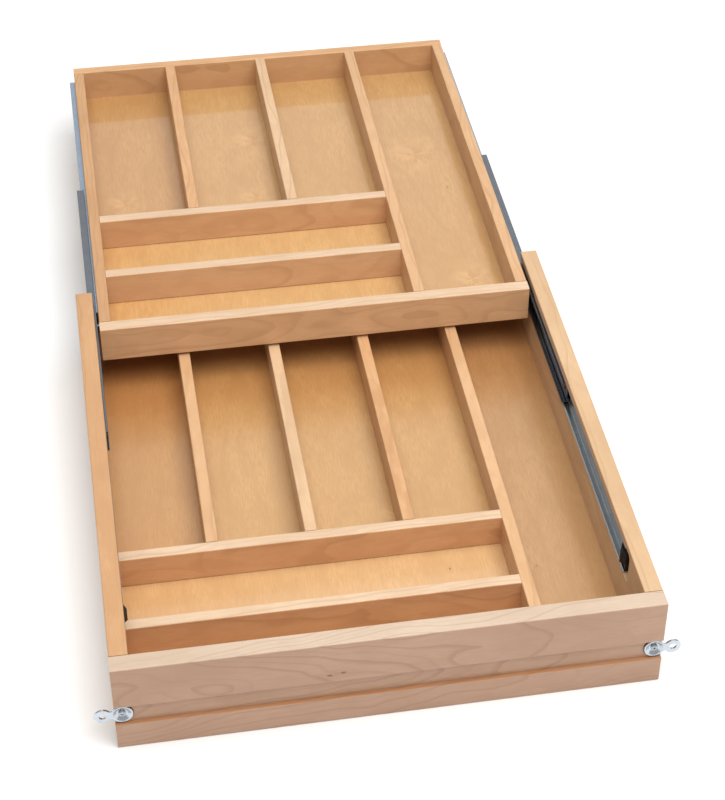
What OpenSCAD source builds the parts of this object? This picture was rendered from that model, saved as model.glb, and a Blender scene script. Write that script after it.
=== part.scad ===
// Two-tier wooden cutlery drawer organizer: a divided drawer box with a divided tray
// that runs on ball-bearing slides let into the box sides.
// X is across, Y goes to the back, Z is up. The origin is the middle of the underside
// of the front board. The joints stand where the tray has been pushed most of the way back.

/* [Drawer box] */
// Width over the box sides
box_w = 520; // [400:1:800]
// Depth from the front face to the back ends of the sides
box_d = 560; // [460:1:700]
// Height of the box
box_h = 105; // [86:1:150]
// Thickness of the two sides
side_t = 18; // [15:0.5:25]
// Thickness of the front board
front_t = 19; // [15:0.5:25]
// Thickness of the dividers and the back board
divider_t = 12.5; // [8:0.5:15]
// Gap between the lower dividers and the tray or slides above them
divider_gap = 3.5; // [1:0.5:20]
// Thickness of the lower floor panel
floor_t = 6; // [4:0.5:9]
// Space left under the lower floor panel for drawer runners
under_h = 15; // [12:0.5:15]
// How far the lower floor panel enters its grooves
floor_groove = 6; // [4:0.5:7]
// Rounding of the long edges
ease = 1.2; // [0.4:0.1:2]

/* [Lower compartments] */
// Clear depth of the front cross compartment
strip_front = 75; // [50:1:110]
// Clear depth of the second cross compartment
strip_rear = 80; // [50:1:110]

/* [Tray] */
// Height of the tray boards
tray_h = 42.5; // [35:0.5:52]
// How far the tray top lies below the box top
tray_drop = 1; // [0:0.5:4]
// Gap between the box front and the closed tray
tray_gap = 2; // [1:0.5:6]
// Thickness of the tray front board
tray_front_t = 15; // [12:0.5:18]
// Thickness of the tray sides and back
tray_side_t = 12.5; // [11:0.5:16]
// Thickness of the tray floor panel
tray_floor_t = 4; // [3:0.5:6]
// How far the tray floor panel sits in its rebate
tray_rebate = 6; // [4:0.5:8]
// Clear depth of the front cross compartment of the tray
tray_strip_front = 80; // [50:1:110]
// Clear depth of the second cross compartment of the tray
tray_strip_rear = 92; // [50:1:110]
// How far the tray stands short of its farthest place at the back
tray_short = 28; // [0:1:400]

/* [Slides] */
// Height of a slide
slide_h = 35; // [29:0.5:42]
// Thickness of a slide from the groove floor to the tray
slide_t = 12.7; // [11.5:0.1:15.5]
// Depth of the groove in the box side
groove_depth = 8; // [6:0.25:9.5]
// Wood left above the groove
lip_h = 7; // [5:0.5:8]
// Spare height of the groove over the slide
groove_spare = 1; // [0.4:0.1:2]
// Distance from the front face to the outer member
slide_front = 72; // [60:1:72]
// Distance from the back end of the side to the outer member
slide_back = 2; // [0:0.5:12]
// Distance from the tray front to the inner member
inner_front = 52; // [51:1:80]
// Distance from the tray back to the inner member
inner_back = 8; // [4:0.5:20]
// Steel thickness of the outer and inner members
steel_t = 1.2; // [1:0.1:1.3]
// Steel thickness of the middle member
middle_steel_t = 1.1; // [0.9:0.1:1.2]
// Radius of the balls
ball_r = 1.55; // [1.3:0.01:1.85]
// Length of a ball cage
cage_len = 196; // [120:1:236]
// Balls in each row of a cage
balls_per_row = 6; // [3:1:12]
// Length of the black front bumper
bumper_len = 16; // [15:1:26]
// Distance of the first box screw from the front face
screw_front = 157; // [120:1:170]
// Distance of the last box screw from the back end of the outer member
screw_back = 8; // [5:1:40]

/* [Front clips] */
// Height of the clips and of the middle of their channel above the underside
clip_z = 43.3; // [36:0.1:50]
// Height of the channel routed across the front
channel_h = 24; // [22:0.5:30]
// Distance from the front face to the face of a clip
clip_set_back = 2; // [0.2:0.1:4]
// Distance of a clip screw from the side of the box
clip_inset = 7.2; // [6.5:0.1:9]
// Radius of the dished end
clip_dish_r = 10.2; // [9:0.1:11]
// Radius of the eye
clip_eye_r = 8; // [7:0.1:9]
// Radius of the hole in the eye
clip_hole_r = 3.5; // [2.5:0.1:4]
// Distance from the screw to the hole
clip_reach = 18; // [17:0.5:22]
// Thickness of a clip
clip_t = 2; // [1.5:0.1:2.5]
// Depth of the dish behind the clip face
dish_depth = 3.6; // [3:0.1:4.5]

/* [Hidden] */

$fn = 48;
columns = 5;                    // long columns across the box
tray_columns = 4;               // long columns across the tray
cut = 1;                        // how far a cutter runs past the face it cuts
ease_steps = 3;                 // flats that round one edge

// Places on the box, all from its front face
y_front = -front_t / 2;
y_inside = y_front + front_t;
y_back = y_front + box_d;
y_back_inside = y_back - divider_t;
inner_w = box_w - 2 * side_t;
floor_z = under_h + floor_t;
tray_z = box_h - tray_drop - tray_h;
divider_top = min(tray_z, box_h - lip_h - slide_h - groove_spare) - divider_gap;
divider_h = divider_top - floor_z;
column_w = (inner_w - (columns - 1) * divider_t) / columns;
cross_front_y = y_inside + strip_front;
cross_rear_y = cross_front_y + divider_t + strip_rear;

// Outer member and travel. At full travel the outer and middle members still hold a whole
// cage between them, and the tray goes twice as far as the middle member.
outer_y = y_front + slide_front;
outer_len = box_d - slide_front - slide_back;
tab_len = 15;
bumper_y = outer_y + tab_len;
middle_start = bumper_y + bumper_len + 1;
middle_short = 19;
middle_len = outer_len - tab_len - bumper_len - middle_short;
cage_slack = 4;
full_travel = 2 * (outer_y + outer_len - middle_start - cage_len - 2 * cage_slack);
tray_back = full_travel - tray_short;

// Places on the tray
tray_w = inner_w - 2 * (slide_t - groove_depth);
tray_d = box_d - front_t - tray_gap;
tray_y = y_inside + tray_gap + tray_back;
tray_inner_w = tray_w - 2 * tray_side_t;
tray_floor_z = tray_z + tray_floor_t;
tray_inside_y = tray_y + tray_front_t;
tray_back_y = tray_y + tray_d - tray_side_t;
tray_column_w = (tray_inner_w - (tray_columns - 1) * divider_t) / tray_columns;
tray_cross_front_y = tray_inside_y + tray_strip_front;
tray_cross_rear_y = tray_cross_front_y + divider_t + tray_strip_rear;

// Slide section, as depth u from the groove floor and height v from the slide's centre line
slide_z = box_h - lip_h - (slide_h + groove_spare) / 2;
groove_h = slide_h + groove_spare;
groove_x = inner_w / 2 + groove_depth;
groove_end_r = 6;
outer_v = slide_h / 2;
outer_in_v = outer_v - steel_t;
ball_gap = 0.15;
outer_ball_v = outer_in_v - ball_gap - ball_r;
middle_v = outer_ball_v - ball_r - ball_gap;
middle_in_v = middle_v - middle_steel_t;
inner_ball_v = middle_in_v - ball_gap - ball_r;
inner_v = inner_ball_v - ball_r - ball_gap;
bend_r = 2.2;
curl_end = 25;
arc_steps = 6;
outer_ball_u = 5.6;
outer_cage_u = 1.5;
outer_strip_past = 0.45;
outer_cage_end_u = outer_ball_u + ball_r + outer_strip_past;
cage_steel_t = 0.4;
cage_strip_t = 1.3;
middle_shoulder = 3.3;
middle_rise_v = middle_v - middle_shoulder;
cage_shoulder = 1.7;
cage_rise_v = middle_rise_v - cage_shoulder;
cage_rise_u = 3.6;
middle_u = 2.3;
middle_rise_u = 4;
middle_end_u = 10.4;
middle_lip = 0.6;
roll_edge = 0.35;
roll_fillet = 0.5;
inner_cage_u = 5.4;
inner_ball_u = 8.2;
inner_strip_past = 0.35;
inner_cage_end_u = inner_ball_u + ball_r + inner_strip_past;
inner_u = 6.4;

// Lengths and places along the slide. The middle member goes half as far as the tray, the
// cage outside it a quarter and the cage inside it three quarters.
middle_y = middle_start + tray_back / 2;
inner_y = tray_y + inner_front;
inner_len = tray_d - inner_front - inner_back;
outer_cage_y = middle_start + full_travel / 4 + cage_slack + tray_back / 4;
inner_cage_y = inner_y + full_travel / 4 + cage_slack - tray_back / 4;

// Screws, dowels and brads
pan_head_r = 3.5;
pan_head_h = 1.8;
pan_head_ease = 0.7;
screw_r = 1.6;
screw_skin = 2;
screw_len = side_t - groove_depth - screw_skin;
screw_fit = 0.05;
tray_screw_head_r = 3.2;
tray_screw_edge = 0.3;
tray_screw_skin = 3.5;
tray_screw_len = tray_side_t - tray_screw_skin;
tray_screws = 4;
box_screws = 4;
screw_pitch = (outer_len - screw_front + slide_front - screw_back) / (box_screws - 1);
dowel_r = 3;
dowel_len = 24;
tray_dowel_len = 20;
front_dowel_rise = 4;
back_dowel_low = 0.22;
back_dowel_high = 0.76;
dowel_fit = 0.05;
brad_r = 0.7;
brad_head_r = 1.3;
brad_head_h = 0.8;
brad_len = 22;
brad_end = 30;
slot_w = 0.9;
slot_len = 3.6;
slot_depth = 0.9;

// Front clips
clip_fit = 0.1;
clip_y = y_front + clip_set_back;
pocket_spare = 0.9;
pocket_y = clip_y + clip_t + 1;
bore_ledge = 0.9;
dish_rim = 1.3;
rim_ease = 0.3;
dish_floor_r = 5.2;
dish_wall = 1;
neck_r = 4.6;
clip_head_r = 3.6;
clip_head_h = 2.2;
clip_head_ease = 0.9;
clip_slot_depth = 1.2;
clip_shank_r = 1.9;
clip_hole_skin = 3;
clip_hole_len = front_t - clip_hole_skin;
clip_tip_gap = 0.8;
hinge_fit = 0.08;
x_clip = box_w / 2 - clip_inset;

maple = "burlywood";
plywood = "wheat";
zinc = "lightsteelblue";
steel = "slategray";

// ---------- helpers ----------

// Corner points of one eased edge, turned a quarter at a time
function eased_corner(x, y, turn) =
    [for (i = [0:ease_steps]) let (a = turn + 90 * i / ease_steps)
        [x + ease * cos(a), y + ease * sin(a)]];

// Outline of a board section with its four edges eased
function eased_outline(w, h) = concat(
    eased_corner(w - ease, h - ease, 0),
    eased_corner(ease, h - ease, 90),
    eased_corner(ease, ease, 180),
    eased_corner(w - ease, ease, 270)
);

// Board whose long way is X, with its low corner at p
module board_x(p, size) {
    translate(p)
        rotate([90, 0, 90])
            linear_extrude(size[0])
                polygon(eased_outline(size[1], size[2]));
}

// Board whose long way is Y, with its low corner at p
module board_y(p, size) {
    translate([p[0], p[1] + size[1], p[2]])
        rotate([90, 0, 0])
            linear_extrude(size[1])
                polygon(eased_outline(size[0], size[2]));
}

// Plain block from a low corner to a high corner
module span_box(low, high) {
    translate(low)
        cube(high - low);
}

// Child for the right hand, or its mirror image for the left
module on_side(s) {
    if (s > 0) children();
    else mirror([1, 0, 0]) children();
}

// Round pin along X, Y or Z from p
module pin_x(p, r, len) {
    translate(p) rotate([0, 90, 0]) cylinder(r = r, h = len);
}

module pin_y(p, r, len) {
    translate(p) rotate([-90, 0, 0]) cylinder(r = r, h = len);
}

module pin_z(p, r, len) {
    translate(p) cylinder(r = r, h = len);
}

// ---------- lower box ----------

function lower_divider_x(i) = -inner_w / 2 + i * column_w + (i - 1) * divider_t;

// Heights of the dowels between the front board and the end of one side: under the floor panel,
// between the floor panel and the clip screw, and in front of the slide groove
front_dowels = [under_h / 2, (floor_z + clip_z - clip_shank_r) / 2, slide_z + front_dowel_rise];

back_dowels = [for (part = [back_dowel_low, back_dowel_high]) floor_z + part * divider_h];

module lower_dowels_at(grow) {
    for (s = [-1, 1]) on_side(s) {
        for (z = front_dowels)
            pin_y([box_w / 2 - side_t / 2, y_inside - dowel_len / 2 - grow, z],
                dowel_r + grow, dowel_len + 2 * grow);
        for (z = back_dowels)
            pin_x([inner_w / 2 - dowel_len / 2 - grow, y_back - divider_t / 2, z],
                dowel_r + grow, dowel_len + 2 * grow);
    }
}

// Channel across the front, and at each end the pocket, dish bore and screw hole of a clip
module clip_channel() {
    span_box(
        [-box_w / 2 - cut, y_front - cut, clip_z - channel_h / 2],
        [box_w / 2 + cut, clip_y + clip_t + clip_fit, clip_z + channel_h / 2]
    );
    for (s = [-1, 1]) on_side(s) {
        pin_y([x_clip, y_front, clip_z], clip_dish_r + pocket_spare, pocket_y - y_front);
        pin_y([x_clip, y_front, clip_z], clip_dish_r - bore_ledge,
            clip_y + dish_depth + clip_fit - y_front);
        pin_y([x_clip, y_front, clip_z], clip_shank_r + screw_fit, clip_hole_len);
    }
}

// Floor panel with its tongues, also the cutter for its grooves
module lower_floor_shape() {
    span_box(
        [-inner_w / 2 - floor_groove, y_inside - floor_groove, under_h],
        [inner_w / 2 + floor_groove, y_back_inside + floor_groove, floor_z]
    );
}

module lower_front_board() {
    color(maple)
        difference() {
            board_x([-box_w / 2, y_front, 0], [box_w, front_t, box_h]);
            clip_channel();
            lower_dowels_at(dowel_fit);
            lower_floor_shape();
        }
}

module box_screw_places() {
    for (i = [0:box_screws - 1])
        translate([groove_x, y_front + screw_front + i * screw_pitch, slide_z]) children();
}

// Slide groove in the right side. It is open at the back and has a rounded front end.
module slide_groove() {
    groove_y = outer_y - groove_spare;
    span_box(
        [inner_w / 2 - cut, groove_y + groove_end_r, slide_z - groove_h / 2],
        [groove_x, y_back + cut, slide_z + groove_h / 2]
    );
    hull()
        for (v = [-1, 1])
            pin_x([inner_w / 2 - cut, groove_y + groove_end_r, slide_z + v * (groove_h / 2 - groove_end_r)],
                groove_end_r, groove_depth + cut);
}

module lower_side(s) {
    on_side(s)
        color(maple)
            difference() {
                board_y([inner_w / 2, y_inside, 0], [side_t, box_d - front_t, box_h]);
                slide_groove();
                lower_floor_shape();
                lower_dowels_at(dowel_fit);
                box_screw_places()
                    rotate([0, 90, 0])
                        cylinder(r = screw_r + screw_fit, h = screw_len);
            }
}

module lower_left_side() { lower_side(-1); }
module lower_right_side() { lower_side(1); }

module lower_back_board() {
    color(maple)
        difference() {
            board_x([-inner_w / 2, y_back_inside, 0], [inner_w, divider_t, divider_top]);
            lower_floor_shape();
            lower_dowels_at(dowel_fit);
        }
}

module lower_floor_panel() {
    color(plywood)
        difference() {
            lower_floor_shape();
            lower_brads_at(screw_fit);
        }
}

module lower_long_divider(i) {
    y_start = i == columns - 1 ? y_inside : cross_rear_y + divider_t;
    color(maple)
        difference() {
            board_y([lower_divider_x(i), y_start, floor_z],
                [divider_t, y_back_inside - y_start, divider_h]);
            lower_brads_at(screw_fit);
        }
}

module lower_long_divider_1() { lower_long_divider(1); }
module lower_long_divider_2() { lower_long_divider(2); }
module lower_long_divider_3() { lower_long_divider(3); }
module lower_long_divider_4() { lower_long_divider(4); }

module lower_cross_divider(y) {
    color(maple)
        difference() {
            board_x([-inner_w / 2, y, floor_z],
                [lower_divider_x(columns - 1) + inner_w / 2, divider_t, divider_h]);
            lower_brads_at(screw_fit);
        }
}

module lower_cross_divider_front() { lower_cross_divider(cross_front_y); }
module lower_cross_divider_rear() { lower_cross_divider(cross_rear_y); }

module lower_corner_dowels() {
    color(maple) lower_dowels_at(0);
}

// Brad from under a floor panel, with its head let into the panel
module brad(x, y, z, grow) {
    pin_z([x, y, z], brad_r + grow, brad_len + grow);
    pin_z([x, y, z - grow], brad_head_r + grow, brad_head_h + grow);
}

module lower_brads_at(grow) {
    for (i = [1:columns - 1], y = [cross_rear_y + divider_t + brad_end, y_back_inside - brad_end])
        brad(lower_divider_x(i) + divider_t / 2, y, under_h, grow);
    for (y = [cross_front_y, cross_rear_y], i = [0:columns - 2])
        brad(-inner_w / 2 + i * (column_w + divider_t) + column_w / 2, y + divider_t / 2,
            under_h, grow);
}

module lower_divider_brads() {
    color(steel) lower_brads_at(0);
}

// ---------- tray ----------

function tray_divider_x(i) = -tray_inner_w / 2 + i * tray_column_w + (i - 1) * divider_t;

tray_dowel_low = 1.5;
tray_dowel_high = 4;
tray_dowel_z = [tray_floor_z + dowel_r + tray_dowel_low, tray_z + tray_h - dowel_r - tray_dowel_high];

module tray_dowels_at(grow) {
    for (s = [-1, 1], z = tray_dowel_z, y = [tray_inside_y, tray_back_y])
        pin_y([s * (tray_w - tray_side_t) / 2, y - tray_dowel_len / 2 - grow, z],
            dowel_r + grow, tray_dowel_len + 2 * grow);
}

module tray_floor_shape() {
    span_box(
        [-tray_inner_w / 2 - tray_rebate, tray_inside_y - tray_rebate, tray_z],
        [tray_inner_w / 2 + tray_rebate, tray_back_y + tray_rebate, tray_floor_z]
    );
}

// The rebate is open underneath
module tray_rebate_cut() {
    tray_floor_shape();
    translate([0, 0, -cut]) tray_floor_shape();
}

module tray_end_board(y, t) {
    color(maple)
        difference() {
            board_x([-tray_w / 2, y, tray_z], [tray_w, t, tray_h]);
            tray_rebate_cut();
            tray_dowels_at(dowel_fit);
        }
}

module tray_front_board() { tray_end_board(tray_y, tray_front_t); }
module tray_back_board() { tray_end_board(tray_back_y, tray_side_t); }

module tray_screw_places() {
    for (i = [0:tray_screws - 1])
        translate([tray_w / 2, inner_y + inner_len * (i + 0.5) / tray_screws, slide_z]) children();
}

module tray_side(s) {
    on_side(s)
        color(maple)
            difference() {
                board_y([tray_w / 2 - tray_side_t, tray_inside_y, tray_z],
                    [tray_side_t, tray_back_y - tray_inside_y, tray_h]);
                tray_rebate_cut();
                tray_dowels_at(dowel_fit);
                tray_screw_places() tray_screw(screw_fit);
            }
}

module tray_left_side() { tray_side(-1); }
module tray_right_side() { tray_side(1); }

module tray_floor_panel() {
    color(plywood)
        difference() {
            tray_floor_shape();
            tray_brads_at(screw_fit);
        }
}

module tray_long_divider(i) {
    y_start = i == tray_columns - 1 ? tray_inside_y : tray_cross_rear_y + divider_t;
    color(maple)
        difference() {
            board_y([tray_divider_x(i), y_start, tray_floor_z],
                [divider_t, tray_back_y - y_start, tray_h - tray_floor_t]);
            tray_brads_at(screw_fit);
        }
}

module tray_long_divider_1() { tray_long_divider(1); }
module tray_long_divider_2() { tray_long_divider(2); }
module tray_long_divider_3() { tray_long_divider(3); }

module tray_cross_divider(y) {
    color(maple)
        difference() {
            board_x([-tray_inner_w / 2, y, tray_floor_z],
                [tray_divider_x(tray_columns - 1) + tray_inner_w / 2, divider_t,
                    tray_h - tray_floor_t]);
            tray_brads_at(screw_fit);
        }
}

module tray_cross_divider_front() { tray_cross_divider(tray_cross_front_y); }
module tray_cross_divider_rear() { tray_cross_divider(tray_cross_rear_y); }

module tray_corner_dowels() {
    color(maple) tray_dowels_at(0);
}

module tray_brads_at(grow) {
    for (i = [1:tray_columns - 1],
         y = [tray_cross_rear_y + divider_t + brad_end, tray_back_y - brad_end])
        brad(tray_divider_x(i) + divider_t / 2, y, tray_z, grow);
    for (y = [tray_cross_front_y, tray_cross_rear_y], i = [0:tray_columns - 2])
        brad(-tray_inner_w / 2 + i * (tray_column_w + divider_t) + tray_column_w / 2,
            y + divider_t / 2, tray_z, grow);
}

module tray_divider_brads() {
    color(steel) tray_brads_at(0);
}

// ---------- slides ----------

// Section with u as depth from the groove floor and v as height, run along the slide.
// The right slide's depth points to -X.
module slide_run(y, len) {
    translate([groove_x, y + len, slide_z])
        rotate([90, 0, 0])
            linear_extrude(len)
                mirror([1, 0]) children();
}

module both_edges() {
    children();
    mirror([0, 1]) children();
}

module uv_box(u0, u1, v0, v1) {
    translate([u0, v0]) square([u1 - u0, v1 - v0]);
}

// Points of an arc about a centre
function arc_points(centre, r, from, to) =
    [for (i = [0:arc_steps]) let (a = from + (to - from) * i / arc_steps)
        centre + r * [cos(a), sin(a)]];

// Strip steel with its edges broken and its bends rounded
module rolled() {
    offset(r = -roll_fillet) offset(delta = roll_fillet)
        offset(r = roll_edge) offset(delta = -roll_edge) children();
}

// The edges of the outer member curl round the balls
module outer_section() {
    bend = [bend_r, outer_v - bend_r];
    ball = [outer_ball_u, outer_ball_v];
    curl_r = ball_r + ball_gap;
    both_edges()
        polygon(concat(
            [[steel_t, -cut], [0, -cut]],
            arc_points(bend, bend_r, 180, 90),
            arc_points(ball, curl_r + steel_t, 90, curl_end),
            arc_points(ball, curl_r, curl_end, 90),
            arc_points(bend, bend_r - steel_t, 90, 180)
        ));
}

module middle_section() {
    rolled() {
        uv_box(middle_rise_u, middle_rise_u + middle_steel_t, -middle_rise_v, middle_rise_v);
        both_edges() {
            uv_box(middle_u, middle_rise_u + middle_steel_t, middle_rise_v - middle_steel_t,
                middle_rise_v);
            uv_box(middle_u, middle_u + middle_steel_t, middle_rise_v - middle_steel_t, middle_v);
            uv_box(middle_u, middle_end_u, middle_in_v, middle_v);
            uv_box(middle_end_u - middle_steel_t, middle_end_u, middle_in_v - middle_lip,
                middle_v);
        }
    }
}

module inner_section() {
    rolled() difference() {
        uv_box(inner_u, slide_t, -inner_v, inner_v);
        uv_box(inner_u - cut, slide_t - steel_t, -inner_v + steel_t, inner_v - steel_t);
    }
}

module outer_cage_section() {
    uv_box(cage_rise_u - cage_steel_t, cage_rise_u, -cage_rise_v, cage_rise_v);
    both_edges() {
        uv_box(outer_cage_u, cage_rise_u, cage_rise_v - cage_steel_t, cage_rise_v);
        uv_box(outer_cage_u, outer_cage_u + cage_steel_t, cage_rise_v - cage_steel_t,
            outer_ball_v + cage_strip_t / 2);
        uv_box(outer_cage_u, outer_cage_end_u, outer_ball_v - cage_strip_t / 2,
            outer_ball_v + cage_strip_t / 2);
    }
}

module inner_cage_section() {
    cage_out_v = inner_ball_v + cage_strip_t / 2;
    cage_in_v = inner_ball_v - cage_strip_t / 2;
    difference() {
        uv_box(inner_cage_u, inner_cage_end_u, -cage_out_v, cage_out_v);
        uv_box(inner_cage_u + cage_steel_t, inner_cage_end_u + cut, -cage_in_v, cage_in_v);
    }
}

// Tongue of the outer member's web past its flanges, raised to stop the middle member
tab_short = 11;
tab_h = slide_h - tab_short;
tab_r = 6;
tab_u = 6;
tab_flat = 5.5;
tab_set = 0.8;

// The tongue's face, cut to a rounded tip, with its side view run through it
module outer_tab() {
    intersection() {
        translate([groove_x - slide_t, outer_y, slide_z])
            rotate([90, 0, 90])
                linear_extrude(slide_t) {
                    translate([0, -tab_h / 2 + tab_r])
                        square([tab_len + cut, tab_h - 2 * tab_r]);
                    translate([tab_r, -tab_h / 2]) square([tab_len + cut - tab_r, tab_h]);
                    for (v = [-1, 1])
                        translate([tab_r, v * (tab_h / 2 - tab_r)]) circle(r = tab_r);
                }
        translate([groove_x, outer_y, slide_z - tab_h / 2])
            linear_extrude(tab_h)
                polygon([
                    [0, tab_len + cut],
                    [-steel_t, tab_len + cut],
                    [-steel_t, tab_len],
                    [-tab_u, tab_flat],
                    [-tab_u, 0],
                    [steel_t - tab_u, 0],
                    [steel_t - tab_u, tab_flat - tab_set],
                    [0, tab_len - tab_set]
                ]);
    }
}

module slide_outer(s) {
    on_side(s)
        color(steel)
            difference() {
                union() {
                    slide_run(outer_y + tab_len, outer_len - tab_len) outer_section();
                    outer_tab();
                }
                box_screw_places()
                    translate([-2 * steel_t, 0, 0])
                        rotate([0, 90, 0])
                            cylinder(r = screw_r + screw_fit, h = 3 * steel_t);
            }
}

module slide_outer_left() { slide_outer(-1); }
module slide_outer_right() { slide_outer(1); }

rivet_r = 2.4;
rivet_h = 1.2;
rivet_end = 8;

module slide_middle(s) {
    on_side(s)
        color(zinc) {
            slide_run(middle_y, middle_len) middle_section();
            for (y = [middle_y + rivet_end, middle_y + middle_len - rivet_end])
                pin_x([groove_x - middle_rise_u - middle_steel_t - rivet_h, y, slide_z],
                    rivet_r, rivet_h + middle_steel_t / 2);
        }
}

module slide_middle_left() { slide_middle(-1); }
module slide_middle_right() { slide_middle(1); }

module slide_inner(s) {
    on_side(s)
        color(zinc)
            difference() {
                slide_run(inner_y, inner_len) inner_section();
                tray_screw_places() tray_screw(screw_fit);
            }
}

module slide_inner_left() { slide_inner(-1); }
module slide_inner_right() { slide_inner(1); }

// Countersunk screw that lies flush in the inner member, from the tray side face
module tray_screw(grow) {
    head_h = tray_screw_head_r - screw_r;
    translate([steel_t, 0, 0])
        rotate([0, -90, 0]) {
            translate([0, 0, -grow])
                cylinder(r = tray_screw_head_r + grow, h = tray_screw_edge + grow);
            translate([0, 0, tray_screw_edge])
                cylinder(r1 = tray_screw_head_r + grow, r2 = screw_r + grow, h = head_h);
            cylinder(r = screw_r + grow, h = tray_screw_len + grow);
        }
}

module slide_tray_screws() {
    color(zinc)
        for (s = [-1, 1]) on_side(s)
            tray_screw_places()
                difference() {
                    tray_screw(0);
                    translate([steel_t, 0, 0]) cross_slot(slot_depth);
                }
}

// Cross-shaped driver recess, cut into a face that looks along +X
module cross_slot(depth) {
    for (a = [0, 90])
        rotate([a, 0, 0])
            translate([-depth, -slot_w / 2, -slot_len / 2])
                cube([depth + cut, slot_w, slot_len]);
}

module slide_box_screws() {
    color(zinc)
        for (s = [-1, 1]) on_side(s)
            box_screw_places()
                difference() {
                    union() {
                        translate([-steel_t - pan_head_h, 0, 0])
                            rotate([0, 90, 0]) pan_head(pan_head_r, pan_head_h, pan_head_ease);
                        translate([-steel_t, 0, 0])
                            rotate([0, 90, 0])
                                cylinder(r = screw_r, h = screw_len + steel_t - screw_fit);
                    }
                    translate([-steel_t - pan_head_h, 0, 0])
                        mirror([1, 0, 0]) cross_slot(slot_depth);
                }
}

// Pan head with an eased rim, its face at 0 and its seat at h
module pan_head(r, h, rim) {
    cylinder(r1 = r - rim, r2 = r, h = rim);
    translate([0, 0, rim]) cylinder(r = r, h = h - rim);
}

// Black bumper: a low block that stops the middle member, and a nose in its middle
nose_h = 14;
nose_gap = 0.5;
nose_u = slide_t - steel_t - nose_gap;
nose_flat = [0.3, 0.4];
nose_low_u = 6.5;
bumper_base_u = 6.2;

module slide_bumper(s) {
    on_side(s)
        color("dimgray") {
            span_box(
                [groove_x - bumper_base_u, bumper_y, slide_z - outer_v + bend_r],
                [groove_x - steel_t, bumper_y + bumper_len, slide_z + outer_v - bend_r]
            );
            translate([0, 0, slide_z - nose_h / 2])
                linear_extrude(nose_h)
                    polygon([
                        [groove_x - bumper_base_u + cut, bumper_y],
                        [groove_x - nose_low_u, bumper_y],
                        [groove_x - nose_u, bumper_y + bumper_len * nose_flat[0]],
                        [groove_x - nose_u, bumper_y + bumper_len * nose_flat[1]],
                        [groove_x - nose_low_u, bumper_y + bumper_len],
                        [groove_x - bumper_base_u + cut, bumper_y + bumper_len]
                    ]);
        }
}

module slide_bumper_left() { slide_bumper(-1); }
module slide_bumper_right() { slide_bumper(1); }

ball_fit = 0.1;
ball_facets = 24;

// Places of the balls of one cage, as distances along it
function ball_places(y) = [for (i = [0:balls_per_row - 1]) y + cage_len * (i + 0.5) / balls_per_row];

module ball_cage(s, y, ball_u, ball_v) {
    pocket_r = ball_r + ball_fit;
    on_side(s)
        color("silver")
            difference() {
                slide_run(y, cage_len) children();
                for (yb = ball_places(y), v = [-1, 1])
                    pin_z([groove_x - ball_u, yb, slide_z + v * ball_v - cage_strip_t],
                        pocket_r, 2 * cage_strip_t);
            }
}

module outer_ball_cage(s) { ball_cage(s, outer_cage_y, outer_ball_u, outer_ball_v) outer_cage_section(); }
module inner_ball_cage(s) { ball_cage(s, inner_cage_y, inner_ball_u, inner_ball_v) inner_cage_section(); }

module outer_ball_cage_left() { outer_ball_cage(-1); }
module outer_ball_cage_right() { outer_ball_cage(1); }
module inner_ball_cage_left() { inner_ball_cage(-1); }
module inner_ball_cage_right() { inner_ball_cage(1); }

module balls(s, y, ball_u, ball_v) {
    on_side(s)
        color("gainsboro")
            for (yb = ball_places(y), v = [-1, 1])
                translate([groove_x - ball_u, yb, slide_z + v * ball_v])
                    sphere(r = ball_r, $fn = ball_facets);
}

module outer_balls_left() { balls(-1, outer_cage_y, outer_ball_u, outer_ball_v); }
module outer_balls_right() { balls(1, outer_cage_y, outer_ball_u, outer_ball_v); }
module inner_balls_left() { balls(-1, inner_cage_y, inner_ball_u, inner_ball_v); }
module inner_balls_right() { balls(1, inner_cage_y, inner_ball_u, inner_ball_v); }

// ---------- front clips ----------

// Half section of the dished end, turned about the screw: radius across, depth up
module dish_profile() {
    polygon([
        [clip_shank_r + hinge_fit, dish_depth],
        [clip_shank_r + hinge_fit, dish_depth - dish_wall],
        [dish_floor_r, dish_depth - dish_wall],
        [clip_dish_r - dish_rim - 2 * rim_ease, rim_ease],
        [clip_dish_r - dish_rim, 0],
        [clip_dish_r - rim_ease, 0],
        [clip_dish_r, rim_ease],
        [clip_dish_r, clip_t],
        [clip_dish_r - dish_rim - rim_ease, clip_t],
        [dish_floor_r + dish_wall / 2, dish_depth]
    ]);
}

module clip_outline() {
    difference() {
        union() {
            translate([clip_reach, 0]) circle(r = clip_eye_r);
            translate([clip_dish_r - dish_rim, -neck_r])
                square([clip_reach - clip_dish_r, 2 * neck_r]);
        }
        translate([clip_reach, 0]) circle(r = clip_hole_r);
        circle(r = clip_dish_r - dish_rim / 2);
    }
}

module front_clip(s) {
    on_side(s)
        color(zinc)
            translate([x_clip, clip_y, clip_z])
                rotate([-90, 0, 0]) {
                    rotate_extrude() dish_profile();
                    linear_extrude(clip_t) clip_outline();
                }
}

module front_clip_left() { front_clip(-1); }
module front_clip_right() { front_clip(1); }

module clip_screw(s) {
    seat = dish_depth - dish_wall - hinge_fit;
    clip_screw_end = clip_hole_len - clip_set_back - clip_tip_gap;
    on_side(s)
        color("white")
            translate([x_clip, clip_y, clip_z])
                rotate([-90, 0, 0])
                    difference() {
                        union() {
                            translate([0, 0, seat - clip_head_h])
                                pan_head(clip_head_r, clip_head_h, clip_head_ease);
                            translate([0, 0, seat - cut])
                                cylinder(r = clip_shank_r, h = clip_screw_end - seat + cut);
                        }
                        translate([0, 0, seat - clip_head_h])
                            rotate([0, 90, 0]) cross_slot(clip_slot_depth);
                    }
}

module clip_screw_left() { clip_screw(-1); }
module clip_screw_right() { clip_screw(1); }

// ---------- what is drawn ----------

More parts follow.
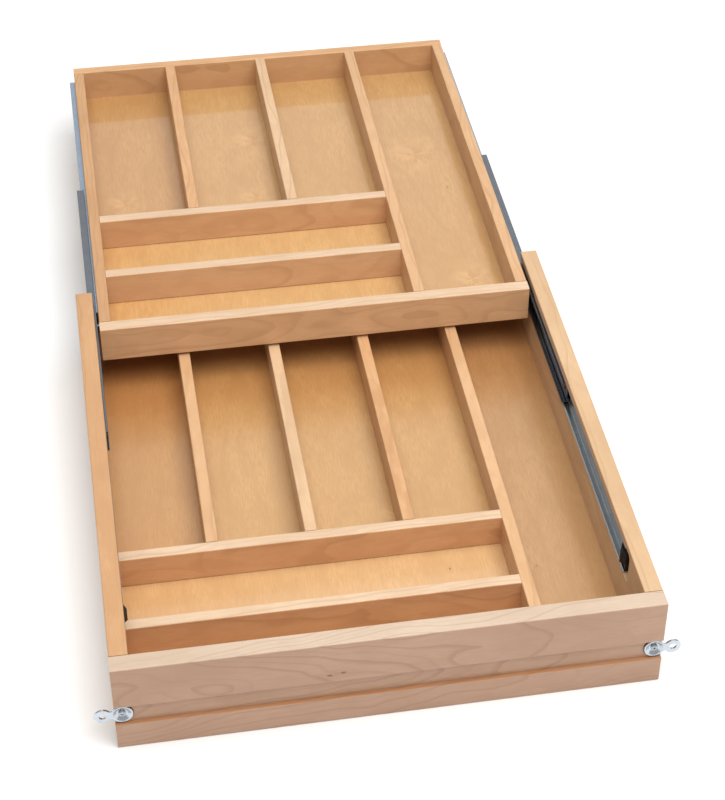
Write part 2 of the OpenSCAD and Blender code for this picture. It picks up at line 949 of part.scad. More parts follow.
lower_front_board();
lower_left_side();
lower_right_side();
lower_back_board();
lower_floor_panel();
lower_long_divider_1();
lower_long_divider_2();
lower_long_divider_3();
lower_long_divider_4();
lower_cross_divider_front();
lower_cross_divider_rear();
lower_corner_dowels();
lower_divider_brads();
tray_front_board();
tray_back_board();
tray_left_side();
tray_right_side();
tray_floor_panel();
tray_long_divider_1();
tray_long_divider_2();
tray_long_divider_3();
tray_cross_divider_front();
tray_cross_divider_rear();
tray_corner_dowels();
tray_divider_brads();
slide_outer_left();
slide_outer_right();
slide_middle_left();
slide_middle_right();
slide_inner_left();
slide_inner_right();
slide_bumper_left();
slide_bumper_right();
outer_ball_cage_left();
outer_ball_cage_right();
inner_ball_cage_left();
inner_ball_cage_right();
outer_balls_left();
outer_balls_right();
inner_balls_left();
inner_balls_right();
slide_box_screws();
slide_tray_screws();
front_clip_left();
front_clip_right();
clip_screw_left();
clip_screw_right();
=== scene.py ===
# %% [markdown]
# # A two-tier maple cutlery drawer
#
# The CAD model gives every board, slide and clip its true size and place. What it can't give is
# the look of lacquered maple, birch-faced plywood and zinc-plated steel. This lesson keeps the CAD
# shapes as they are and spends its effort on finishes that are worked out by formula, so that no
# two boards share the same grain and every view of the drawer holds up.

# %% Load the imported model
import math
import bmesh
import bpy
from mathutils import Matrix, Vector


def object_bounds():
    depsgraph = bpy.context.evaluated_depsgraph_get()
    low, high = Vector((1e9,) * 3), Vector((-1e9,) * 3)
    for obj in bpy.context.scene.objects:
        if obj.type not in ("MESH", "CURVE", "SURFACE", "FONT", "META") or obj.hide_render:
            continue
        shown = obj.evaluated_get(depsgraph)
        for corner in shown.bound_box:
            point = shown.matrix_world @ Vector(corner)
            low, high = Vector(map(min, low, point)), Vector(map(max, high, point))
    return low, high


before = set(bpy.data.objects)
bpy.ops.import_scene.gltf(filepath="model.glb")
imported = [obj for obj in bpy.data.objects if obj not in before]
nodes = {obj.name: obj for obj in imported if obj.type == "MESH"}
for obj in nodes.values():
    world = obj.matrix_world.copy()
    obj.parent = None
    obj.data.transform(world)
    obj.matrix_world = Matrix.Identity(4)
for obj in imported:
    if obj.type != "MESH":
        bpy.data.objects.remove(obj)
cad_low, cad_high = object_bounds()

print("CAD box in metres:", [round(v, 4) for v in cad_low], [round(v, 4) for v in cad_high])

# %% [markdown]
# ## The camera
#
# The drawer is seen from the front and well above, a little left of its middle, with a short
# telephoto lens. A longer lens from farther back would flatten the box, and a wider one would
# make its sides run together too fast. The small shift places the drawer in the frame without
# turning the camera, which would tilt the upright edges.

# %% Camera
CAMERA_PLACE = (-0.2334, -1.2815, 1.5063)
CAMERA_TURN = (49.506, -0.746, -9.972)

camera_data = bpy.data.cameras.new("studio_camera")
camera_data.sensor_fit = "VERTICAL"
camera_data.sensor_height = 24
camera_data.lens = 62.0
camera_data.shift_x = -0.0516
camera_data.shift_y = -0.0112
camera = bpy.data.objects.new("studio_camera", camera_data)
camera.location = CAMERA_PLACE
camera.rotation_euler = [math.radians(a) for a in CAMERA_TURN]
bpy.context.scene.collection.objects.link(camera)
bpy.context.scene.camera = camera
print("camera stands", round(camera.location.z, 2), "m high")

# %% [markdown]
# ## The studio
#
# A product shot of this kind is lit by one large soft box high overhead, a little in front of the
# object, with white card all round to fill the shadows. Here an area light is the soft box and
# an even white world is the card. A second, weaker light stands behind the object like a tall
# white screen: its mirror image in the lacquer is what gives the floors their pale satin sheen.
# The floor is a wide plane of nearly white paper. Colours are shown without a film curve,
# because such a curve greys the orange of the wood.

# %% Soft box, white surroundings and floor
scene = bpy.context.scene
scene.view_settings.view_transform = "Standard"
scene.view_settings.look = "None"


def soft_box(name, place, aim, size, power):
    """A square area light at a place, turned to face a point."""
    data = bpy.data.lights.new(name, "AREA")
    data.shape = "SQUARE"
    data.size = size
    data.energy = power
    lamp = bpy.data.objects.new(name, data)
    lamp.location = place
    direction = Vector(aim) - Vector(place)
    lamp.rotation_euler = direction.to_track_quat("-Z", "Y").to_euler()
    scene.collection.objects.link(lamp)


middle = (cad_low + cad_high) / 2
soft_box("overhead_box", (0.25, -0.2, 2.4), middle, 2.2, 80)
soft_box("back_screen", (0.5, 3.6, 2.7), middle, 3.4, 20)

world = bpy.data.worlds.new("white_card")
world.use_nodes = True
card = world.node_tree.nodes["Background"]
card.inputs["Color"].default_value = (1.0, 0.99, 0.975, 1)
card.inputs["Strength"].default_value = 0.50
scene.world = world

FLOOR_REACH = 6
floor_mesh = bmesh.new()
bmesh.ops.create_grid(floor_mesh, x_segments=1, y_segments=1, size=FLOOR_REACH)
floor_data = bpy.data.meshes.new("paper_floor")
floor_mesh.to_mesh(floor_data)
floor_mesh.free()
paper_floor = bpy.data.objects.new("paper_floor", floor_data)
scene.collection.objects.link(paper_floor)

paper = bpy.data.materials.new("white_paper")
paper.use_nodes = True
paper_shader = paper.node_tree.nodes["Principled BSDF"]
paper_shader.inputs["Base Color"].default_value = (0.87, 0.87, 0.865, 1)
paper_shader.inputs["Roughness"].default_value = 0.9
floor_data.materials.append(paper)
print("paper floor reaches", FLOOR_REACH, "m each way")

# %% [markdown]
# ## Small tools for building shader nodes
#
# A procedural finish is a chain of small sums. Writing each sum as one short call keeps the chain
# readable, so these helpers add a node, set its values and join its inputs in one go. An input
# may be a number, a vector or another node's output.

# %% Node helpers


class Chain:
    """Adds nodes to one node tree and joins them."""

    def __init__(self, tree):
        self.tree = tree

    def add(self, kind, **settings):
        node = self.tree.nodes.new(kind)
        for name, value in settings.items():
            setattr(node, name, value)
        return node

    def feed(self, socket, value):
        if isinstance(value, bpy.types.NodeSocket):
            self.tree.links.new(value, socket)
        else:
            socket.default_value = value

    def math(self, operation, first, second=None):
        node = self.add("ShaderNodeMath", operation=operation)
        self.feed(node.inputs[0], first)
        if second is not None:
            self.feed(node.inputs[1], second)
        return node.outputs[0]

    def vector(self, operation, first, second=None):
        node = self.add("ShaderNodeVectorMath", operation=operation)
        self.feed(node.inputs[0], first)
        if second is not None:
            self.feed(node.inputs[1], second)
        return node.outputs["Value"] if operation == "LENGTH" else node.outputs[0]

    def noise(self, vector, scale, detail, roughness=0.5):
        node = self.add("ShaderNodeTexNoise")
        self.feed(node.inputs["Vector"], vector)
        for name, value in (("Scale", scale), ("Detail", detail), ("Roughness", roughness)):
            node.inputs[name].default_value = value
        return node.outputs["Fac"]

    def range(self, value, low, high, to_low=0.0, to_high=1.0):
        node = self.add("ShaderNodeMapRange", interpolation_type="SMOOTHSTEP")
        for name, number in (("Value", value), ("From Min", low), ("From Max", high),
                             ("To Min", to_low), ("To Max", to_high)):
            self.feed(node.inputs[name], number)
        return node.outputs["Result"]

    def mix(self, factor, first, second, blend="MIX"):
        node = self.add("ShaderNodeMix", data_type="RGBA", blend_type=blend)
        self.feed(node.inputs[0], factor)
        self.feed(node.inputs[6], first)
        self.feed(node.inputs[7], second)
        return node.outputs[2]

    def split(self, vector):
        node = self.add("ShaderNodeSeparateXYZ")
        self.feed(node.inputs[0], vector)
        return node.outputs

    def join(self, x, y, z):
        node = self.add("ShaderNodeCombineXYZ")
        for socket, value in zip(node.inputs, (x, y, z)):
            self.feed(socket, value)
        return node.outputs[0]


SOCKETS = {"value": "NodeSocketFloat", "vector": "NodeSocketVector", "colour": "NodeSocketColor"}


def new_group(name, takes, gives):
    """A shader node group with named sockets, and its chain, its inputs and its output node."""
    group = bpy.data.node_groups.new(name, "ShaderNodeTree")
    for label, kind, default in takes:
        socket = group.interface.new_socket(name=label, in_out="INPUT", socket_type=SOCKETS[kind])
        if default is not None:
            socket.default_value = default
    for label, kind in gives:
        group.interface.new_socket(name=label, in_out="OUTPUT", socket_type=SOCKETS[kind])
    chain = Chain(group)
    taken = chain.add("NodeGroupInput").outputs
    given = chain.add("NodeGroupOutput").inputs
    return group, chain, taken, given


print("node helpers ready")

# %% [markdown]
# ## How maple figure comes about
#
# A board is a slice through a stack of nested cones: each year's ring is a tube round the heart
# of the tree, and the tree tapers. Where the saw runs past the heart, the rings meet the face in
# long nested arches. So the group below doesn't paint arches. It takes a point in the board's own
# frame, with the grain along its first axis, finds how far the point lies from a slightly leaning
# heart line, and draws a thin late-wood line once in every ring. Noise that is stretched along
# the grain bends the rings, and the end grain comes out right by itself.
#
# The same group gives the short flecks and the fine fibre that lacquered maple shows close up.

# %% Maple figure group
maple_group, chain, taken, given = new_group(
    "Maple figure",
    [("Point", "vector", None), ("Heart across", "value", 0.0), ("Heart depth", "value", 0.06),
     ("Lean", "value", 0.05), ("Ring width", "value", 0.006), ("Wander", "value", 0.010)],
    [("Rings", "value"), ("Tone", "value"), ("Blotch", "value"), ("Streaks", "value"),
     ("Mottle", "value"), ("Flecks", "value"), ("Fibre", "value")],
)
point = taken["Point"]
slow_point = chain.vector("MULTIPLY", point, (5.5, 12.0, 12.0))
bend = chain.math("SUBTRACT", chain.noise(slow_point, 1.0, 2.0), 0.5)
quick_point = chain.vector("MULTIPLY", point, (14, 48, 48))
bend_small = chain.math("SUBTRACT", chain.noise(quick_point, 1.0, 3.0), 0.5)
along, across, depth = chain.split(point)
heart = chain.math("ADD", taken["Heart depth"], chain.math("MULTIPLY", along, taken["Lean"]))
wide_wander = chain.math("MULTIPLY", taken["Wander"], 4.0)
heart = chain.math("ADD", heart, chain.math("MULTIPLY", bend, wide_wander))
side_step = chain.math("SUBTRACT", across, taken["Heart across"])
depth_step = chain.math("SUBTRACT", depth, heart)
radius = chain.math("SQRT", chain.math("ADD", chain.math("POWER", side_step, 2.0),
                                       chain.math("POWER", depth_step, 2.0)))
fine_wander = chain.math("MULTIPLY", taken["Wander"], 0.35)
radius = chain.math("ADD", radius, chain.math("MULTIPLY", bend_small, fine_wander))
turns = chain.math("DIVIDE", radius, taken["Ring width"])
year = chain.math("FLOOR", turns)
phase = chain.math("SUBTRACT", turns, year)
LATE_START, LATE_PEAK = 0.45, 0.92
late = chain.math("MULTIPLY", chain.range(phase, LATE_START, LATE_PEAK),
                  chain.range(phase, LATE_PEAK, 1.0, 1.0, 0.0))
year_noise = chain.add("ShaderNodeTexWhiteNoise", noise_dimensions="1D")
chain.feed(year_noise.inputs["W"], year)
strength = chain.range(year_noise.outputs["Value"], 0.0, 1.0, 0.15, 1.0)
chain.feed(given["Rings"], chain.math("MULTIPLY", late, strength))
# Each row: the mark, its rate along and across the grain, its detail and its roughness
for mark, along_rate, cross_rate, detail, rough in (
        ("Tone", 5, 16, 3.0, 0.55), ("Blotch", 24, 52, 2.0, 0.5), ("Streaks", 20, 640, 4.0, 0.6),
        ("Mottle", 75, 620, 3.0, 0.65), ("Fibre", 90, 2600, 3.0, 0.6),
        ("Flecks", 260, 1500, 1.0, 0.4)):
    stretched = chain.vector("MULTIPLY", point, (along_rate, cross_rate, cross_rate))
    pattern = chain.noise(stretched, 1.0, detail, rough)
    if mark == "Flecks":
        pattern = chain.range(pattern, 0.66, 0.80)
    chain.feed(given[mark], pattern)
print("maple group has", len(maple_group.nodes), "nodes")

# %% [markdown]
# ## Pin knots
#
# Here and there a board shows a pin knot: a dark dot a few millimetres across with a lighter halo
# that the grain flows round. The group gives a mask for one knot from its place in the board's
# own frame. A material places it as often as its board has knots.

# %% Pin knot group
knot_group, chain, taken, given = new_group(
    "Pin knot",
    [("Point", "vector", None), ("Place", "vector", None), ("Size", "value", 0.004)],
    [("Dot", "value"), ("Halo", "value")],
)
gap = chain.vector("SUBTRACT", taken["Point"], taken["Place"])
squeezed = chain.vector("MULTIPLY", gap, (0.55, 1.0, 1.0))
distance = chain.vector("LENGTH", squeezed)
roughness = chain.math("SUBTRACT", chain.noise(taken["Point"], 700.0, 2.0), 0.5)
ragged = chain.math("ADD", distance,
                    chain.math("MULTIPLY", roughness, chain.math("MULTIPLY", taken["Size"], 0.8)))
sizes_out = chain.math("DIVIDE", ragged, taken["Size"])
chain.feed(given["Dot"], chain.range(sizes_out, 0.25, 0.6, 1.0, 0.0))
chain.feed(given["Halo"], chain.range(sizes_out, 0.5, 3.2, 1.0, 0.0))
print("pin knot group ready")

# %% [markdown]
# ## Eyes in the figure
#
# Where a veneer was peeled across a buried twig, its fibres dive into the sheet and come up again
# round a point. Light catches them as a flame of pale rays about an orange spot. The group turns
# the place round the spot into an angle and reads a noise along that angle, which gives broad
# rays of uneven width. They fade with distance and stretch along the grain.

# %% Eye group
eye_group, chain, taken, given = new_group(
    "Figure eye",
    [("Point", "vector", None), ("Place", "vector", None), ("Size", "value", 0.02)],
    [("Rays", "value"), ("Spot", "value")],
)
gap = chain.vector("SUBTRACT", taken["Point"], taken["Place"])
gap_along, gap_across, _ = chain.split(gap)
wave = chain.math("SUBTRACT", chain.noise(taken["Point"], 60.0, 2.0), 0.5)
wavy = chain.math("MULTIPLY", wave, 0.012)
angle = chain.math("ARCTAN2", chain.math("ADD", gap_across, wavy), gap_along)
reach = chain.vector("LENGTH", chain.join(chain.math("MULTIPLY", gap_along, 0.8), gap_across, 0.0))
part_way = chain.math("DIVIDE", reach, taken["Size"])
ray_point = chain.join(chain.math("MULTIPLY", angle, 1.1),
                       chain.math("MULTIPLY", part_way, 1.3), 0.0)
ray_noise = chain.noise(ray_point, 1.0, 2.0, 0.6)
fall = chain.range(part_way, 0.0, 1.3, 1.0, 0.0)
chain.feed(given["Rays"], chain.math("MULTIPLY", chain.range(ray_noise, 0.36, 0.66), fall))
chain.feed(given["Spot"], chain.math("MULTIPLY", chain.range(part_way, 0.0, 0.50, 1.0, 0.0),
                                     chain.range(ray_noise, 0.3, 0.6, 1.0, 0.25)))
print("eye group ready")

# %% [markdown]
# ## The maple boards
#
# Every board gets its own material from one recipe, because a real drawer is cut from many
# planks: some are creamy, some pink, some golden. The recipe turns object coordinates into the
# board's own frame, shifts them by a number that belongs to the board, and reads the figure group.
# End grain drinks more lacquer, so a face that looks along the grain is darkened. The finish is a
# satin lacquer: a slightly rough wood under a thin clear coat.

# %% Maple recipe
CREAM = (0.60, 0.41, 0.245)
PINK = (0.45, 0.28, 0.19)
GOLD = (0.59, 0.365, 0.195)
AMBER = (0.58, 0.34, 0.17)
# Not a plank colour: a paler colour painted on faces that look up, as painted light.
EDGE_PAINTED_LIGHT = (0.60, 0.44, 0.30)
HONEY = (0.50, 0.285, 0.14)
SAND = (0.55, 0.37, 0.215)
PEACH = (0.67, 0.41, 0.225)
APRICOT = (0.66, 0.37, 0.19)
WHEAT = (0.68, 0.39, 0.20)
BISCUIT = (0.66, 0.385, 0.20)
KNOT_BROWN = (0.20, 0.085, 0.035, 1)


def shade(colour, factor, warm=1.0):
    """The colour made darker by a factor, and redder where warm is above 1."""
    return (colour[0] * factor * warm, colour[1] * factor, colour[2] * factor / warm, 1)


def recolour(chain, wood, old, new):
    """The same figure in another colour: the finished wood times new over old."""
    return chain.mix(1.0, wood, (*(new[i] / old[i] for i in range(3)), 1), "MULTIPLY")


LEDGE_SOFT = 0.01
PLANK_STEP = 1.37
BOARD_COAT_ROUGH = 0.16
FIBRE_DEPTH = 0.0004


def maple(name, axes, seed, colour, heart=(0.0, 0.06), lean=0.05, ring=0.006, wander=0.010,
          contrast=1.0, knots=(), blotch=0.35, mottle=0.35, gloss=0.12, painted_edge_light=None, ledge_painted_shade=None):
    """Lacquered maple. axes names the object axes that run along, across and through the board.

    The faces that look across the board can get a paler copy of the wood, painted light for faces
    lit from above, and those below a height a darker copy, painted shade in the channel.
    """
    material = bpy.data.materials.new(name)
    material.use_nodes = True
    tree = material.node_tree
    c = Chain(tree)
    shader = tree.nodes["Principled BSDF"]
    place = c.add("ShaderNodeTexCoord")
    parts = dict(zip("XYZ", c.split(place.outputs["Object"])))
    point = c.join(*(parts[a] for a in axes))
    figure = c.add("ShaderNodeGroup")
    figure.node_tree = maple_group
    moved = c.vector("ADD", point, (seed * PLANK_STEP, 0.0, 0.0))
    c.feed(figure.inputs["Point"], moved)
    figure.inputs["Heart across"].default_value = heart[0]
    figure.inputs["Heart depth"].default_value = heart[1] - seed * PLANK_STEP * lean
    figure.inputs["Lean"].default_value = lean
    figure.inputs["Ring width"].default_value = ring
    figure.inputs["Wander"].default_value = wander
    tone = c.range(figure.outputs["Tone"], 0.3, 0.7)
    wood = c.mix(tone, shade(colour, 0.95, 1.03), shade(colour, 1.07))
    # Each row: the mark, where it starts and is full, how strong, how dark and how warm
    for output, low, high, weight, dark, warm in (
            ("Blotch", 0.42, 0.62, blotch, 0.76, 1.12),
            ("Rings", 0.0, 1.0, 0.55 * contrast, 0.64, 1.12),
            ("Streaks", 0.45, 0.72, 0.20 * contrast, 0.78, 1.05),
            ("Mottle", 0.38, 0.66, mottle, 0.84, 1.05),
            ("Flecks", 0.0, 1.0, 0.30, 0.60, 1.10)):
        mask = c.range(figure.outputs[output], low, high, 0.0, weight)
        wood = c.mix(mask, wood, shade(colour, dark, warm))
    for knot_place, size in knots:
        knot = c.add("ShaderNodeGroup")
        knot.node_tree = knot_group
        c.feed(knot.inputs["Point"], point)
        knot.inputs["Place"].default_value = knot_place
        knot.inputs["Size"].default_value = size
        wood = c.mix(c.math("MULTIPLY", knot.outputs["Halo"], 0.25), wood, shade(colour, 0.7, 1.1))
        wood = c.mix(c.math("MULTIPLY", knot.outputs["Dot"], 0.85), wood, KNOT_BROWN)
    facing = dict(zip("XYZ", c.split(place.outputs["Normal"])))
    # Painted light: faces that look across the board (top and bottom) get a paler copy of the wood.
    if painted_edge_light:
        painted_light_wood = recolour(c, wood, colour, painted_edge_light)
        # Painted shade: below the given height these faces get a darker orange copy instead, for
        # the channel's ledge.
        if ledge_painted_shade:
            above = c.range(parts[axes[1]], ledge_painted_shade[0], ledge_painted_shade[0] + LEDGE_SOFT)
            painted_light_wood = c.mix(above, recolour(c, wood, colour, ledge_painted_shade[1]), painted_light_wood)
        wood = c.mix(c.range(c.math("ABSOLUTE", facing[axes[1]]), 0.5, 0.9), wood, painted_light_wood)
    end = c.range(c.math("ABSOLUTE", facing[axes[0]]), 0.6, 0.9)
    wood = c.mix(c.math("MULTIPLY", end, 0.55), wood, shade(colour, 0.72, 1.07))
    c.feed(shader.inputs["Base Color"], wood)
    rough = c.range(figure.outputs["Streaks"], 0.3, 0.8, 0.40, 0.52)
    c.feed(shader.inputs["Roughness"], rough)
    shader.inputs["Coat Weight"].default_value = gloss
    shader.inputs["Coat Roughness"].default_value = BOARD_COAT_ROUGH
    shader.inputs["Specular IOR Level"].default_value = 0.35
    bump = c.add("ShaderNodeBump")
    bump.inputs["Strength"].default_value = 0.25
    bump.inputs["Distance"].default_value = FIBRE_DEPTH
    c.feed(bump.inputs["Height"], c.math("ADD", figure.outputs["Fibre"],
                                         c.math("MULTIPLY", figure.outputs["Flecks"], -0.6)))
    c.feed(shader.inputs["Normal"], bump.outputs[0])
    return material


def give(node, material):
    """Puts one material on the whole of a CAD node."""
    data = nodes[node].data
    data.materials.clear()
    data.materials.append(material)


# %% [markdown]
# ## Which board is which
#
# The drawer front is a wide flat-sawn board, so its heart lies close behind its face and the
# arches are bold. The sides, back and dividers are narrow strips with straighter grain. Each line
# below says how a board lies, which plank it came from and where the heart of that plank was.

# %% Boards of the drawer box
ALONG_X = "XZY"
ALONG_Y = "YZX"
FLAT_Y = "YXZ"

FRONT_KNOTS = [((-0.060, 0.0640, -0.0095), 0.0034), ((-0.047, 0.0660, -0.0095), 0.0030)]
# Painted light: a paler colour for the front board's top and bottom faces.
FRONT_EDGE_PAINTED_LIGHT = (0.51, 0.40, 0.30)
# Painted shade: the height of the channel's ledge and the darker orange painted on the faces below
# it.
CHANNEL_LEDGE_PAINTED_SHADE = (0.085, (0.46, 0.23, 0.11))

give("lower_front_board", maple(
    "maple_drawer_front", ALONG_X, 0.31, PINK, heart=(0.062, 0.060), lean=0.10, ring=0.0044,
    wander=0.014, knots=FRONT_KNOTS, blotch=0.25, mottle=0.30, painted_edge_light=FRONT_EDGE_PAINTED_LIGHT, ledge_painted_shade=CHANNEL_LEDGE_PAINTED_SHADE))
give("lower_back_board", maple(
    "maple_lower_back", ALONG_X, 3.4, GOLD, heart=(0.03, 0.62), lean=0.03, ring=0.005))

for number, (node, plank, heart) in enumerate((
        ("lower_left_side", HONEY, (0.15, 0.30)), ("lower_right_side", SAND, (0.14, -0.32)))):
    give(node, maple("maple_" + node, ALONG_Y, 1.1 + number, plank, heart=heart,
                     lean=0.02, ring=0.0055, contrast=0.8))

LOWER_PLANKS = ((GOLD, 0.35), (CREAM, 0.35), (AMBER, 0.90), (GOLD, 0.45))
for number, (plank, blotch) in enumerate(LOWER_PLANKS, start=1):
    give(f"lower_long_divider_{number}", maple(
        f"maple_lower_long_{number}", ALONG_Y, 4.2 + 0.61 * number, plank,
        heart=(0.0, 0.12 * number - 0.3), lean=0.06, wander=0.014, blotch=blotch))
for place, seed, plank, heart in (
        ("front", 8.3, APRICOT, (0.02, 0.16)), ("rear", 9.7, WHEAT, (0.05, 0.26))):
    give("lower_cross_divider_" + place, maple(
        "maple_lower_cross_" + place, ALONG_X, seed, plank, heart=heart,
        lean=0.03, ring=0.0055, contrast=0.9, painted_edge_light=EDGE_PAINTED_LIGHT))
print("box boards finished:", len(bpy.data.materials) - 1)

# %% [markdown]
# ## The tray's boards
#
# The tray is made of thinner boards than the box, but of the same maple, so the same recipe
# serves. The boards that are seen from the front are a little lighter than the rest, and their
# top and bottom faces get a paler copy of their colour: painted light for faces lit from above.

# %% Boards of the tray
give("tray_front_board", maple(
    "maple_tray_front", ALONG_X, 11.3, PEACH, heart=(0.078, 0.520), lean=0.03, ring=0.0050,
    wander=0.012, contrast=0.85, painted_edge_light=EDGE_PAINTED_LIGHT))
give("tray_back_board", maple(
    "maple_tray_back", ALONG_X, 12.8, AMBER, heart=(0.07, 1.10), lean=0.03, ring=0.005))

for number, (node, plank, heart) in enumerate((
        ("tray_left_side", HONEY, (0.10, -0.30)), ("tray_right_side", GOLD, (0.08, 0.30)))):
    give(node, maple("maple_" + node, ALONG_Y, 14.1 + number, plank, heart=heart,
                     lean=0.03, ring=0.0055))

for number, plank in enumerate((AMBER, CREAM, GOLD), start=1):
    give(f"tray_long_divider_{number}", maple(
        f"maple_tray_long_{number}", ALONG_Y, 16.3 + 0.47 * number, plank,
        heart=(0.06, 0.13 * number - 0.2), wander=0.014))
for place, seed, plank, heart in (
        ("front", 18.9, PEACH, (0.07, 0.66)), ("rear", 19.9, BISCUIT, (0.09, 0.78))):
    give("tray_cross_divider_" + place, maple(
        "maple_tray_cross_" + place, ALONG_X, seed, plank, heart=heart,
        lean=0.03, contrast=0.8, painted_edge_light=EDGE_PAINTED_LIGHT))
print("boards finished:", len(bpy.data.materials) - 1)

# %% [markdown]
# ## The plywood floors
#
# Both floors are veneered panels. Rotary-cut veneer is peeled off the log like paper off a roll,
# so the knife rides along the rings and the figure is broad, cloudy and low in contrast, over a
# fine short grain. The maple group does this too, with very wide rings that meet the face at a
# shallow slope. A floor is glossier than the boards, because veneer is sanded finer, so it has a
# full clear coat. Each stretch of a floor between two dividers is multiplied by its own tint:
# painted shade under the tray and in the long compartments, painted light in the cross
# compartments. The change hides under the divider.

# %% Plywood recipe


def veneer(name, seed, colour, lean, ring, painted_shading, coat_rough, knots=(), eyes=()):
    """Lacquered rotary-cut veneer, front to back. Each listed stretch of the sheet is multiplied by
    its tint of painted shade or painted light.
    """
    material = maple(name, FLAT_Y, seed, colour, heart=(0.0, 0.12), lean=lean, ring=ring,
                     wander=0.020, contrast=0.28, knots=knots, blotch=0.30, mottle=0.75, gloss=1.0)
    shader = material.node_tree.nodes["Principled BSDF"]
    shader.inputs["Coat Roughness"].default_value = coat_rough
    shader.inputs["Coat IOR"].default_value = 1.52
    c = Chain(material.node_tree)
    wood = shader.inputs["Base Color"].links[0].from_socket
    x, y, z = c.split(c.add("ShaderNodeTexCoord").outputs["Object"])
    # Painted shade and painted light: each listed stretch of the floor is multiplied by its tint.
    for left, right, front, back, soft, painted_tint in painted_shading:
        weight = c.range(x, left - soft, left + soft)
        for mask in (c.range(x, right - soft, right + soft, 1.0, 0.0),
                     c.range(y, front - soft, front + soft),
                     c.range(y, back - soft, back + soft, 1.0, 0.0)):
            weight = c.math("MULTIPLY", weight, mask)
        wood = c.mix(weight, wood, (*painted_tint, 1), "MULTIPLY")
    for eye_place, size in eyes:
        eye = c.add("ShaderNodeGroup")
        eye.node_tree = eye_group
        c.feed(eye.inputs["Point"], c.join(y, x, z))
        eye.inputs["Place"].default_value = eye_place
        eye.inputs["Size"].default_value = size
        wood = c.mix(c.math("MULTIPLY", eye.outputs["Rays"], 0.34), wood, shade(colour, 1.32, 0.95))
        wood = c.mix(c.math("MULTIPLY", eye.outputs["Spot"], 0.75), wood, shade(colour, 0.66, 1.18))
    c.feed(shader.inputs["Base Color"], wood)
    return material


VENEER = (0.60, 0.355, 0.145)
SHADING_SOFT = 0.006

# Each row: left, right, front and back of the stretch, how softly it ends, and its tint of painted
# shade or painted light
LOWER_PAINTED_SHADING = [
    (-0.26, -0.149, 0.183, 0.56, SHADING_SOFT, (0.79, 0.72, 0.65)),
    (-0.149, 0.149, 0.183, 0.56, SHADING_SOFT, (0.83, 0.83, 0.80)),
    (0.149, 0.26, -0.01, 0.56, SHADING_SOFT, (0.73, 0.70, 0.71)),
    (-0.26, 0.149, -0.01, 0.183, SHADING_SOFT, (1.00, 1.07, 1.26)),
    (-0.50, -0.13, -0.20, 0.183, 0.10, (0.98, 0.90, 0.80)),
    (-0.36, 0.36, 0.42, 0.70, 0.07, (0.90, 0.76, 0.66)),
]
# Painted shade and painted light for the tray floor, in the same columns.
TRAY_PAINTED_SHADING = [
    (-0.25, -0.1155, 0.689, 1.03, SHADING_SOFT, (0.81, 0.76, 0.70)),
    (-0.1155, 0.1155, 0.689, 1.03, SHADING_SOFT, (0.86, 0.86, 0.84)),
    (0.1155, 0.25, 0.48, 1.03, SHADING_SOFT, (0.84, 0.84, 0.84)),
    (-0.25, 0.1155, 0.48, 0.689, SHADING_SOFT, (0.99, 1.04, 1.12)),
    (-0.50, -0.15, 0.30, 0.689, 0.08, (0.98, 0.90, 0.80)),
]
LOWER_KNOTS = [((0.150, 0.085, 0.021), 0.0018), ((0.140, 0.172, 0.021), 0.0014)]
LOWER_EYES = [((0.235, 0.045, 0.021), 0.022)]
TRAY_KNOTS = [((0.745, 0.196, 0.0655), 0.0018)]
TRAY_EYES = [
    ((0.820, 0.169, 0.0655), 0.040), ((0.880, -0.027, 0.0655), 0.034),
    ((0.758, -0.038, 0.0655), 0.024), ((0.770, -0.195, 0.0655), 0.026),
    ((0.628, -0.205, 0.0655), 0.028), ((0.525, -0.205, 0.0655), 0.022),
    ((0.560, 0.190, 0.0655), 0.030),
]
give("lower_floor_panel", veneer("veneer_lower_floor", 23.0, VENEER, 0.10, 0.016,
                                 LOWER_PAINTED_SHADING, 0.22, LOWER_KNOTS, LOWER_EYES))
give("tray_floor_panel", veneer("veneer_tray_floor", 27.4, VENEER, 0.12, 0.014,
                                TRAY_PAINTED_SHADING, 0.09, TRAY_KNOTS, TRAY_EYES))
print("floors finished")

# %% [markdown]
# ## Zinc-plated steel
#
# Slide members are rolled from strip, which leaves fine lines along their length, and then
# plated. One group gives the lines and the cloudy bloom of the plating, and each metal sets its
# own colour and roughness with it.

# %% Rolled steel group
steel_group, chain, taken, given = new_group(
    "Rolled steel",
    [("Point", "vector", None), ("Line spacing", "value", 3000.0)],
    [("Lines", "value"), ("Bloom", "value")],
)
x, y, z = chain.split(taken["Point"])
line_point = chain.join(chain.math("MULTIPLY", x, taken["Line spacing"]),
                        chain.math("MULTIPLY", y, 12.0),
                        chain.math("MULTIPLY", z, taken["Line spacing"]))
chain.feed(given["Lines"], chain.noise(line_point, 1.0, 2.0, 0.6))
chain.feed(given["Bloom"], chain.noise(taken["Point"], 85.0, 4.0, 0.6))
print("rolled steel group ready")


LINE_ROUGHNESS = 0.14


